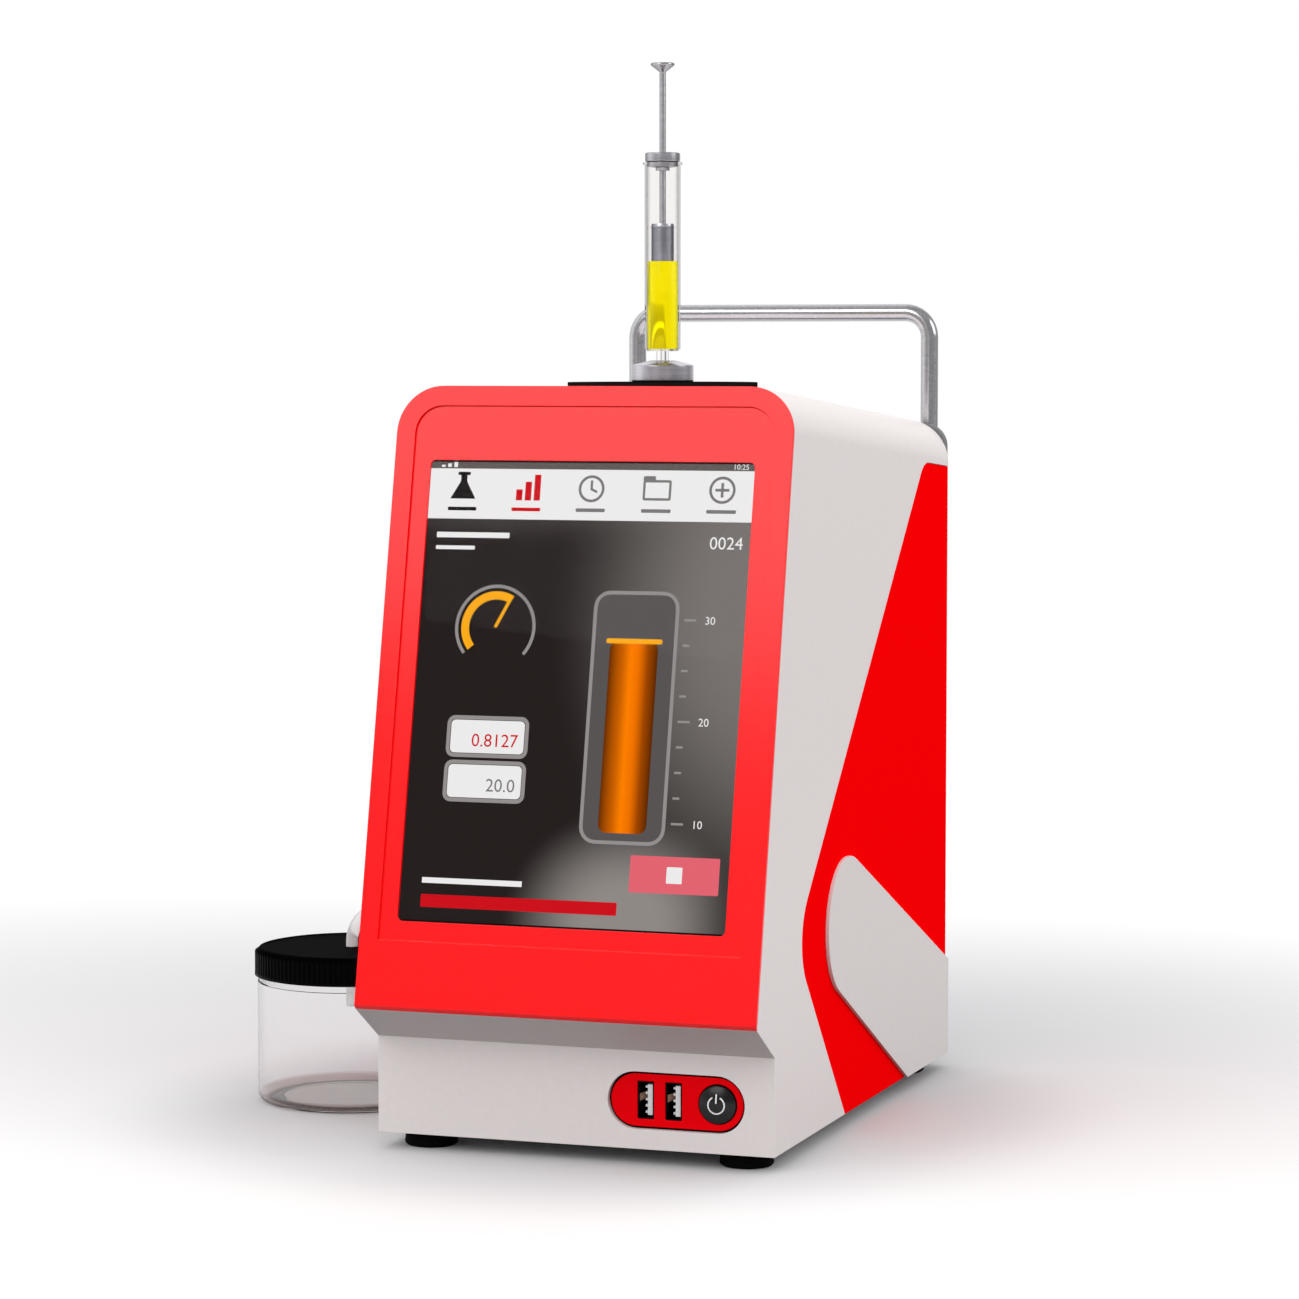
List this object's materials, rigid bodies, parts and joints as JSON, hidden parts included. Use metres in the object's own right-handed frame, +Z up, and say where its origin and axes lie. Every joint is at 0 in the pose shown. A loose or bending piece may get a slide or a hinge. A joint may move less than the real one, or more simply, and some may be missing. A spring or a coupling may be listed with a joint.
{
  "type": "benchtop density meter",
  "caption": "Benchtop density meter with a slanted touch screen, a sample syringe on the inlet port, a rear carrying handle and a screw-cap waste jar on a short hose.",
  "frame": {"origin": "on the bench, below the middle of the box round the whole set, hose left out", "axes": "+Z up, -Y towards the user in front of the screen, +X to the user's right"},
  "size_m": [0.237, 0.2738, 0.3947],
  "materials": {
    "housing_white": "satin",
    "signal_red": "satin",
    "touch_glass": "glossy",
    "dark_plastic": "matte",
    "rear_grey": "satin",
    "button_black": "glossy",
    "platform_black": "matte",
    "rubber_black": "matte",
    "cap_black": "satin",
    "sheet_steel": "brushed",
    "turned_steel": "turned",
    "piston_metal": "turned",
    "chrome_rod": "polished",
    "glass_clear": "clear",
    "clear_plastic": "clear",
    "sample_yellow": "liquid",
    "liner_white": "matte",
    "board_green": "satin",
    "cell_aluminium": "satin",
    "foam_grey": "matte",
    "ceramic_white": "matte"
  },
  "bodies": {
    "instrument": {"housing_shell": "housing_white", "corner_cover_left": "housing_white", "corner_cover_right": "housing_white", "front_bezel": "signal_red", "side_inlay_left": "signal_red", "side_inlay_right": "signal_red", "control_plate": "signal_red", "touch_glass": "touch_glass", "display_panel": "dark_plastic", "fan_frame": "dark_plastic", "button_switch": "dark_plastic", "mains_inlet": "dark_plastic", "usb_tongues": "dark_plastic", "rear_panel": "rear_grey", "top_platform": "platform_black", "foot_front_left": "rubber_black", "foot_front_right": "rubber_black", "foot_rear_left": "rubber_black", "foot_rear_right": "rubber_black", "port_seal": "rubber_black", "base_plate": "sheet_steel", "cell_shelf": "sheet_steel", "usb_shells": "sheet_steel", "network_socket": "sheet_steel", "foot_screws": "sheet_steel", "rear_screws": "sheet_steel", "handle_screws": "sheet_steel", "inlet_port": "turned_steel", "waste_nipple": "turned_steel", "cell_cap": "turned_steel", "handle_rod": "chrome_rod", "handle_rosettes": "chrome_rod", "u_tube": "glass_clear", "waste_jar": "clear_plastic", "waste_hose": "clear_plastic", "sample_tube": "clear_plastic", "outlet_tube": "clear_plastic", "mainboard": "board_green", "thermostat_block": "cell_aluminium", "heat_sink": "cell_aluminium", "power_supply": "cell_aluminium", "cell_insulation": "foam_grey", "cooling_element": "ceramic_white"},
    "power_button": {"power_button": "button_black"},
    "syringe": {"syringe_barrel": "glass_clear", "syringe_end_cap": "turned_steel", "sample_liquid": "sample_yellow"},
    "plunger": {"plunger_rod": "turned_steel", "piston": "piston_metal", "piston_seal": "clear_plastic"},
    "fan_rotor": {"fan_rotor": "dark_plastic"},
    "cap_liner": {"cap_liner": "liner_white"},
    "jar_cap": {"jar_cap": "cap_black"}
  },
  "joints": [
    {"name": "power_button_press", "type": "slide", "parent": "instrument", "child": "power_button", "axis": [0, 1, 0], "range_m": [0, 0.0015], "stiffness_N_per_m": 400},
    {"name": "syringe_lift", "type": "slide", "parent": "instrument", "child": "syringe", "axis": [0, 0, 1], "range_m": [0, 0.06]},
    {"name": "plunger_slide", "type": "slide", "parent": "syringe", "child": "plunger", "axis": [0, 0, 1], "range_m": [-0.0294, 0.0194], "deforming": ["sample_liquid"]},
    {"name": "fan_spin", "type": "hinge", "parent": "instrument", "child": "fan_rotor", "pos_m": [0.03425, 0.104, 0.136], "axis": [0, 1, 0], "continuous": true},
    {"name": "cap_lift", "type": "slide", "parent": "instrument", "child": "cap_liner", "axis": [0, 0, 1], "range_m": [0, 0.0043]},
    {"name": "cap_turn", "type": "hinge", "parent": "cap_liner", "child": "jar_cap", "pos_m": [-0.08105, -0.026, 0.054], "axis": [0, 0, 1], "range_deg": [0, 360]}
  ],
  "couplings": [
    {"joint": "cap_lift", "follows": "cap_turn", "m_per_rad": 0.00066845}
  ]
}
